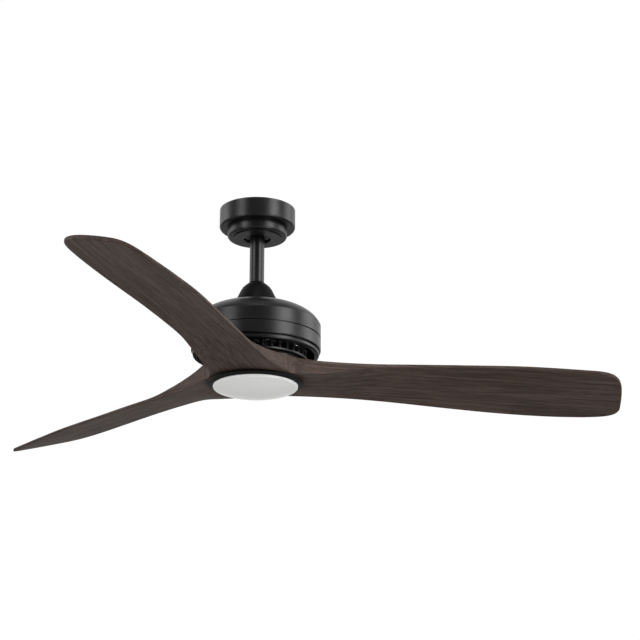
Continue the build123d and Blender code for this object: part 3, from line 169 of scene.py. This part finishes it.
def plated(name, colour, roughness, drawn=(400.0, 400.0, 30.0)):
    """Bare or plated metal with a drawn grain."""
    made, tree, shader, place = finish(name, roughness, 0.5, 1.0)
    lines = grain(tree, stretched(tree, place, drawn), 1.0, 3.0)
    bare = ramp(tree, lines, (0.3, tuple(c * 0.8 for c in colour)), (0.7, colour))
    tree.links.new(bare, shader.inputs["Base Color"])
    patches = grain(tree, place, 60.0)
    patches = ramp(tree, patches, (0.3, roughness * 0.8), (0.7, roughness * 1.25))
    tree.links.new(patches, shader.inputs["Roughness"])
    pebble(tree, shader, lines, 0.08, 0.0001)
    return made


zinc = plated("zinc_plate", (0.38, 0.385, 0.4), 0.4)
ground_steel = plated("ground_steel", (0.6, 0.6, 0.61), 0.2)
brass = plated("brass", (0.62, 0.45, 0.18), 0.28)
cast = plated("die_cast_aluminium", (0.42, 0.42, 0.43), 0.42, (90.0, 90.0, 90.0))
copper = plated("enamelled_copper", (0.22, 0.085, 0.04), 0.45, (60.0, 60.0, 900.0))
lamination = plated("stacked_steel", (0.2, 0.2, 0.21), 0.45, (4.0, 4.0, 1800.0))

dress(zinc, "hanger_bracket", "canopy_screws", "ball_cross_pin", "clevis_pin", "hairpin_clip")
dress(zinc, "ball_set_screw", "coupling_set_screws", "motor_coupling", "housing_screws")
dress(zinc, "board_screws", "plate_screws", "blade_screws", "light_nut", "led_board_screws")
dress(zinc, "rotor_yoke")
dress(ground_steel, "motor_shaft", "bearing_inner_races", "bearing_outer_races")
dress(ground_steel, "bearing_balls", "rotor_screws")
dress(brass, "earth_screw", "terminal_screws")
dress(cast, "light_pan")
dress(cast_coat, "rotor_top_shell", "rotor_bottom_shell")
dress(copper, "stator_coils")
dress(lamination, "stator_core")

# ---------------------------------------------------------------- mouldings, rubber and boards
# The ball, spacers and terminal block are moulded.
# The leads and the gasket under the plate are rubber.
# The motor's driver and the LEDs stand on printed boards.


def moulded(name, colour, roughness, specular=0.4, pebbles=900.0):
    """Moulded plastic or rubber with a fine cast texture."""
    made, tree, shader, place = finish(name, roughness, specular)
    cloud = grain(tree, place, 25.0)
    resin = ramp(tree, cloud, (0.3, tuple(c * 0.86 for c in colour)), (0.7, colour))
    tree.links.new(resin, shader.inputs["Base Color"])
    sheen = ramp(tree, cloud, (0.3, roughness * 0.9), (0.7, roughness * 1.1))
    tree.links.new(sheen, shader.inputs["Roughness"])
    pebble(tree, shader, grain(tree, place, pebbles, 2.0), 0.1, 0.0002)
    return made


black_nylon = moulded("black_nylon", (0.012, 0.012, 0.012), 0.5)
pale_nylon = moulded("pale_nylon", (0.62, 0.61, 0.57), 0.45)
rubber = moulded("black_rubber", (0.008, 0.008, 0.008), 0.75, 0.25)
ferrite = moulded("sintered_ferrite", (0.035, 0.035, 0.04), 0.55)
green_board = moulded("green_board", (0.01, 0.07, 0.03), 0.25)
white_board = moulded("white_board", (0.72, 0.72, 0.69), 0.3)
phosphor = moulded("led_phosphor", (0.8, 0.62, 0.12), 0.35)

dress(black_nylon, "hanger_ball", "board_standoffs", "driver_components")
dress(pale_nylon, "terminal_block")
dress(rubber, "motor_leads", "blade_gasket")
dress(ferrite, "rotor_magnets")
dress(green_board, "driver_board")
dress(white_board, "led_board")
dress(phosphor, "leds")

# ---------------------------------------------------------------- opal diffuser
# The light's cover is a shallow dome of opal acrylic with a polished face.
# It scatters light inside its own thickness, and twists onto three catches in the pan. A faint white
# painted glow brightens it, though the light inside is off.

opal, opal_tree, opal_shader, opal_place = finish("opal_acrylic", 0.35, 0.3)
opal_shader.inputs["Subsurface Weight"].default_value = 0.35
SCATTER = 0.004
opal_shader.inputs["Subsurface Radius"].default_value = (SCATTER, SCATTER, SCATTER)
opal_shader.inputs["Subsurface Scale"].default_value = 1.0
# painted glow: a faint white emission brightens the cover, though its LEDs are off
opal_shader.inputs["Emission Color"].default_value = (1.0, 1.0, 1.0, 1.0)
opal_shader.inputs["Emission Strength"].default_value = 0.08
opal_cloud = grain(opal_tree, opal_place, 9.0, 2.0)
opal_white = ramp(opal_tree, opal_cloud, (0.3, (0.65, 0.65, 0.645)), (0.7, (0.68, 0.68, 0.675)))
opal_tree.links.new(opal_white, opal_shader.inputs["Base Color"])
opal_sheen = ramp(opal_tree, grain(opal_tree, opal_place, 40.0), (0.3, 0.28), (0.7, 0.34))
opal_tree.links.new(opal_sheen, opal_shader.inputs["Roughness"])
pebble(opal_tree, opal_shader, grain(opal_tree, opal_place, 120.0, 1.0), 0.03, 0.0003)
dress(opal, "diffuser")

# ---------------------------------------------------------------- carved blades
# Each of the three blades is carved from one plank of walnut, stained near black and lacquered matt.
# The root is a third of the round hub, and the blade thins and twists as it leaves it.

gasket_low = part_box("blade_gasket")[0]
MM = 0.001
HUB_T = 30.0 * MM
HUB_UNDER = gasket_low.z - HUB_T
TURN = 120.0
FIRST = 12.2
BORE = 26.0
JUNCTION = 84.0
ROUND_HUB = BORE + 30.0
EASE = 1.7
CROWN, CROWN_FROM, CROWN_RUN = 2.5, 80.0, 60.0

# along the blade and across it, in millimetres, with the leading edge on the minus side
LEAD_EDGE = [
    (42.0, 72.7), (54.0, 62.3), (74.0, 55.9), (110.0, 53.2), (198.0, 52.8),
    (330.0, 59.0), (451.0, 67.3), (539.0, 69.0), (619.0, 66.5), (671.0, 64.0),
]
TRAIL_EDGE = [
    (42.0, 72.7), (64.0, 69.3), (102.0, 65.3), (143.0, 63.4), (198.0, 63.6),
    (330.0, 71.2), (451.0, 77.0), (539.0, 74.0), (605.0, 67.4), (671.0, 61.5),
]
# the rounded end, from the leading edge to the trailing edge
END = [
    (585.0, -67.6), (602.0, -64.2), (617.0, -56.5), (630.0, -43.0), (640.5, -24.0),
    (649.0, 0.0), (656.0, 24.0), (659.3, 37.0), (658.0, 46.0), (651.0, 54.5),
    (638.0, 60.5), (622.0, 64.2), (605.0, 67.0),
]
# along the blade, then the leading underside and top and the trailing underside and top,
# each above the hub's underside
HEIGHTS = [
    (0.0, 0.0, 30.0, 0.0, 30.0), (46.0, 0.0, 30.0, 0.0, 30.0), (75.0, 4.0, 29.4, 0.0, 24.0),
    (110.0, 7.0, 28.6, 0.0, 18.0), (150.0, 14.0, 28.8, 0.0, 12.0), (200.0, 23.0, 30.0, -0.3, 6.0),
    (261.0, 27.0, 32.6, -1.3, 4.2), (352.0, 30.5, 35.8, -4.0, 1.3), (451.0, 33.0, 38.2, -6.2, -1.0),
    (550.0, 33.3, 38.3, -7.4, -2.4), (671.0, 34.0, 39.0, -5.5, -0.5),
]
UNDER_LEAD, TOP_LEAD, UNDER_TRAIL, TOP_TRAIL = 1, 2, 3, 4

# rows of points: how many there are in each stretch, where it starts and the step between them
HUB_ROWS, END_ROWS = 6, 26
ROOT_FROM, ROOT_ROWS, ROOT_STEP = 42.0, 8, 1.5
NECK_FROM, NECK_ROWS, NECK_STEP = 54.0, 28, 4.0
PLANK_FROM, PLANK_ROWS, PLANK_STEP = 166.0, 45, 9.0
# points across a row: even ones in the middle, and close ones over the eased edges
MIDDLE_STEPS = 26
EDGE_INSETS = [0.0, 0.15, 0.45, 0.9, 1.5, 2.3]
EDGE_COLUMNS = len(EDGE_INSETS) + 1
NARROW_ROW = 12
# where the eased edge is worked out: past the joints of the hub, and on every point near the end
JOINT_END, NEAR_END, SEARCH = 40.0, 560.0, 25.0


def eased(table, x, column=1):
    """A smooth reading of a table between its rows."""
    x = min(max(x, table[0][0]), table[-1][0])
    i = max(k for k in range(len(table) - 1) if table[k][0] <= x)
    before, after = table[max(i - 1, 0)], table[min(i + 2, len(table) - 1)]
    start, end = table[i], table[i + 1]
    span = end[0] - start[0]
    f = (x - start[0]) / span
    slope_in = (end[column] - before[column]) / (end[0] - before[0]) * span
    slope_out = (after[column] - start[column]) / (after[0] - start[0]) * span
    return ((2 * f**3 - 3 * f**2 + 1) * start[column] + (f**3 - 2 * f**2 + f) * slope_in
            + (3 * f**2 - 2 * f**3) * end[column] + (f**3 - f**2) * slope_out)


def stations():
    """Rows across the blade: place along, half width on each side and how far the row bows out."""
    rows = []
    for a in [i / HUB_ROWS for i in range(HUB_ROWS)]:
        along = BORE * 0.5 + (JUNCTION * 0.5 - BORE * 0.5) * a
        wide = along * math.tan(math.radians(TURN * 0.5))
        rows.append((along, -wide, wide, BORE * 0.5 * (1 - a)))
    spots = [ROOT_FROM + ROOT_STEP * i for i in range(ROOT_ROWS)]
    spots += [NECK_FROM + NECK_STEP * i for i in range(NECK_ROWS)]
    spots += [PLANK_FROM + PLANK_STEP * i for i in range(PLANK_ROWS)]
    for along in spots:
        rows.append((along, -eased(LEAD_EDGE, along), eased(TRAIL_EDGE, along), 0.0))
    peak = max(END)[0]
    lead_side = END[: END.index(max(END)) + 1]
    trail_side = END[END.index(max(END)):][::-1]
    start = spots[-1]
    for i in range(1, END_ROWS + 1):
        along = start + (peak - 0.05 - start) * math.sin(math.pi / 2 * i / END_ROWS)
        low = -eased(LEAD_EDGE, along) if along < END[0][0] else eased(lead_side, along)
        high = eased(TRAIL_EDGE, along) if along < END[-1][0] else eased(trail_side, along)
        rows.append((along, low, high, 0.0))
    return rows


def edge_gap(point, border):
    """Shortest distance from a point to the outline."""
    best = 1e9
    px, py = point
    for (ax, ay), (bx, by) in border:
        dx, dy = bx - ax, by - ay
        f = max(0.0, min(1.0, ((px - ax) * dx + (py - ay) * dy) / (dx * dx + dy * dy + 1e-12)))
        best = min(best, (px - ax - f * dx) ** 2 + (py - ay - f * dy) ** 2)
    return math.sqrt(best)


def carve_blade(name):
    """The blade along X: a sheet of points underneath and one on top, with eased edges."""
    rows = stations()
    across = []
    for along, low, high, bow in rows:
        wide = high - low
        near = list(EDGE_INSETS)
        if wide < NARROW_ROW:
            near = [min(d, wide * 0.5 * k / len(near)) for k, d in enumerate(near)]
        inner = wide - 2 * near[-1]
        middle = [near[-1] + inner * i / MIDDLE_STEPS for i in range(1, MIDDLE_STEPS)]
        steps = near + middle + [wide - d for d in reversed(near)]
        across.append([(along + bow * (1 - (2 * d / wide - 1) ** 2), low + d) for d in steps])
    border = []
    for side in (0, -1):
        line = [row[side] for row in across]
        border += list(zip(line, line[1:]))
    border += list(zip(across[-1], across[-1][1:]))
    outline = [seg for seg in border if seg[0] != seg[1]]
    verts, faces = [], []
    width = len(across[0])
    for layer in (1, 0):
        for row, points in zip(rows, across):
            along, low, high, _ = row
            near = [s for s in outline if abs(s[0][0] - along) < SEARCH]
            for k, (x, y) in enumerate(points):
                lead, trail = eased(LEAD_EDGE, x), eased(TRAIL_EDGE, x)
                f = (y + lead) / (trail + lead) if x > ROUND_HUB else (y - low) / (high - low)
                under, top = eased(HEIGHTS, x, UNDER_LEAD), eased(HEIGHTS, x, TOP_LEAD)
                under += (eased(HEIGHTS, x, UNDER_TRAIL) - under) * f
                top += (eased(HEIGHTS, x, TOP_TRAIL) - top) * f
                crown = CROWN * min(1.0, max(0.0, (x - CROWN_FROM) / CROWN_RUN))
                crown *= 1 - (2 * f - 1) ** 2
                gap = EASE
                by_edge = k < EDGE_COLUMNS or k >= width - EDGE_COLUMNS or x > NEAR_END
                if by_edge and near and x > JOINT_END:
                    gap = min(EASE, edge_gap((x, y), near))
                drop = EASE - math.sqrt(max(0.0, EASE**2 - (EASE - gap) ** 2))
                z = top + crown - drop if layer else under + drop
                verts.append((x * MM, y * MM, HUB_UNDER + z * MM))
    size = len(rows) * width
    for i in range(len(rows) - 1):
        for k in range(width - 1):
            a, d = i * width + k, (i + 1) * width + k
            b, c = a + 1, d + 1
            faces.append((a, d, c, b))
            faces.append((size + a, size + b, size + c, size + d))
        for k in (0, width - 1):
            a, d = i * width + k, (i + 1) * width + k
            faces.append((a, size + a, size + d, d) if k == 0 else (a, d, size + d, size + a))
    for i in (0, len(rows) - 1):
        for k in range(width - 1):
            a = i * width + k
            b = a + 1
            faces.append((a, b, size + b, size + a) if i == 0 else (a, size + a, size + b, b))
    mesh = bpy.data.meshes.new(name)
    mesh.from_pydata(verts, [], faces)
    mesh.validate()
    for face in mesh.polygons:
        face.use_smooth = True
    plank = mesh.attributes.new("plank", "FLOAT_VECTOR", "POINT")
    for point, vert in zip(plank.data, mesh.vertices):
        point.vector = vert.co
    return mesh


# waves in a metre along the plank, across it and through its thickness
WARP = (3.0, 14.0, 14.0)
STREAKS = (7.0, 260.0, 260.0)
PORES = (28.0, 1500.0, 1500.0)


def walnut():
    """Dark stained walnut: long streaks along the plank, fine pores, a waxed sheen."""
    made, tree, shader, _ = finish("stained_walnut", 0.6, 0.07)
    along_plank = tree.nodes.new("ShaderNodeAttribute")
    along_plank.attribute_name = "plank"
    place = along_plank.outputs["Vector"]
    warp = grain(tree, stretched(tree, place, WARP), 1.0, 2.0)
    streaks = grain(tree, stretched(tree, place, STREAKS), 1.0, 6.0, 0.65, 0.35)
    pores = grain(tree, stretched(tree, place, PORES), 1.0, 3.0, 0.6)
    broad = ramp(tree, warp, (0.3, (0.061, 0.043, 0.0365)), (0.7, (0.089, 0.066, 0.058)))
    dark_streak, mid_streak, light_streak = (0.45, 0.42, 0.4), (0.95, 0.93, 0.92), (1.7, 1.66, 1.62)
    fine = ramp(tree, streaks, (0.28, dark_streak), (0.5, mid_streak), (0.78, light_streak))
    dark = ramp(tree, pores, (0.36, (0.55, 0.53, 0.52)), (0.5, (1.0, 1.0, 1.0)))
    first = tree.nodes.new("ShaderNodeMix")
    second = tree.nodes.new("ShaderNodeMix")
    for mix in (first, second):
        mix.data_type = "RGBA"
        mix.blend_type = "MULTIPLY"
        mix.inputs["Factor"].default_value = 1.0
    tree.links.new(broad, first.inputs[MIX_A])
    tree.links.new(fine, first.inputs[MIX_B])
    tree.links.new(first.outputs[MIX_COLOUR], second.inputs[MIX_A])
    tree.links.new(dark, second.inputs[MIX_B])
    tree.links.new(second.outputs[MIX_COLOUR], shader.inputs["Base Color"])
    tree.links.new(ramp(tree, streaks, (0.3, 0.68), (0.7, 0.56)), shader.inputs["Roughness"])
    pebble(tree, shader, pores, 0.25, 0.0002)
    return made


wood = walnut()
blade_mesh = carve_blade("walnut_blade")
blade_mesh.materials.append(wood)
for number in (1, 2, 3):
    turned_mesh = blade_mesh.copy()
    turned_mesh.transform(Matrix.Rotation(math.radians(FIRST + TURN * (number - 1)), 4, "Z"))
    blade = bpy.data.objects.new(f"walnut_blade_{number}", turned_mesh)
    bpy.context.scene.collection.objects.link(blade)
    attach(blade, "rotor")
    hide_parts(f"blade_{number}")
dress(wood, "blade_1", "blade_2", "blade_3")

# ---------------------------------------------------------------- room, light and viewpoint
# The fan hangs over a wide, plain pale floor in an even white room that is darker in front.
# Seven soft lamps stand round it: two at the sides, two strips high in front, one overhead in front
# and two narrow strips below. The viewer looks up from below.

ROOM_H = 5.2
REACH = 40.0
floor_mesh = bpy.data.meshes.new("floor")
corners = [(x * REACH, y * REACH, -ROOM_H) for x, y in ((-1, -1), (1, -1), (1, 1), (-1, 1))]
floor_mesh.from_pydata(corners, [], [(0, 1, 2, 3)])
pale_floor, floor_tree, floor_shader, floor_place = finish("pale_floor", 0.8, 0.2)
floor_cloud = grain(floor_tree, floor_place, 3.0)
floor_grey = ramp(floor_tree, floor_cloud, (0.3, (0.7, 0.7, 0.69)), (0.7, (0.74, 0.74, 0.73)))
floor_tree.links.new(floor_grey, floor_shader.inputs["Base Color"])
floor_mesh.materials.append(pale_floor)
floor = bpy.data.objects.new("floor", floor_mesh)
bpy.context.scene.collection.objects.link(floor)

world = bpy.data.worlds.new("studio")
bpy.context.scene.world = world
world.use_nodes = True
sky = world.node_tree
facing = sky.nodes.new("ShaderNodeSeparateXYZ")
sky.links.new(sky.nodes.new("ShaderNodeTexCoord").outputs["Generated"], facing.inputs["Vector"])
# the light of the room grows from the viewer's side to the far side
FRONT, BACK = -0.35, 0.5
FRONT_LIGHT, BACK_LIGHT = 0.15, 1.02
fall = sky.nodes.new("ShaderNodeMapRange")
fall.interpolation_type = "SMOOTHSTEP"
fall.inputs["From Min"].default_value = FRONT
fall.inputs["From Max"].default_value = BACK
fall.inputs["To Min"].default_value = FRONT_LIGHT
fall.inputs["To Max"].default_value = BACK_LIGHT
sky.links.new(facing.outputs["Y"], fall.inputs["Value"])
sky.links.new(fall.outputs["Result"], sky.nodes["Background"].inputs["Strength"])
sky.nodes["Background"].inputs["Color"].default_value = (1.0, 1.0, 1.0, 1.0)

LAMP_SPREAD = 50.0


def panel(name, place, aim, wide, tall, power):
    """A soft light panel that faces a point."""
    data = bpy.data.lights.new(name, "AREA")
    data.shape = "RECTANGLE"
    data.size, data.size_y = wide, tall
    data.energy = power
    data.spread = math.radians(LAMP_SPREAD)
    lamp = bpy.data.objects.new(name, data)
    lamp.location = place
    lamp.rotation_mode = "QUATERNION"
    lamp.rotation_quaternion = (Vector(aim) - Vector(place)).to_track_quat("-Z", "Y")
    bpy.context.scene.collection.objects.link(lamp)


middle = Vector((0.0, 0.0, -0.25))
panel("left_panel", (-3.1, 0.8, 0.6), middle, 1.6, 1.6, 1.9)
panel("right_panel", (3.1, 0.8, 0.6), middle, 1.6, 1.6, 3.0)
panel("left_strip", (-2.4, -2.2, 0.9), middle, 1.1, 1.4, 3.2)
panel("right_strip", (2.6, -1.95, 0.9), middle, 1.6, 1.4, 6.6)
panel("high_panel", (0.2, -2.0, 2.6), middle, 1.6, 1.0, 3.5)
panel("left_low_strip", (-2.1, -2.1, -1.7), middle, 0.3, 1.6, 2.6)
panel("right_low_strip", (2.1, -2.1, -1.7), middle, 0.3, 1.6, 3.9)

LOOK_UP = 18.77
camera_data = bpy.data.cameras.new("viewpoint")
camera_data.lens = 99.37
camera_data.sensor_width = 36.0
camera_data.clip_end = 60.0
camera = bpy.data.objects.new("viewpoint", camera_data)
camera.location = (0.1077, -2.827, -1.1592)
camera.rotation_euler = (math.radians(90.0 + LOOK_UP), 0.0, 0.0)
bpy.context.scene.collection.objects.link(camera)
bpy.context.scene.camera = camera
bpy.context.scene.view_settings.view_transform = "Standard"
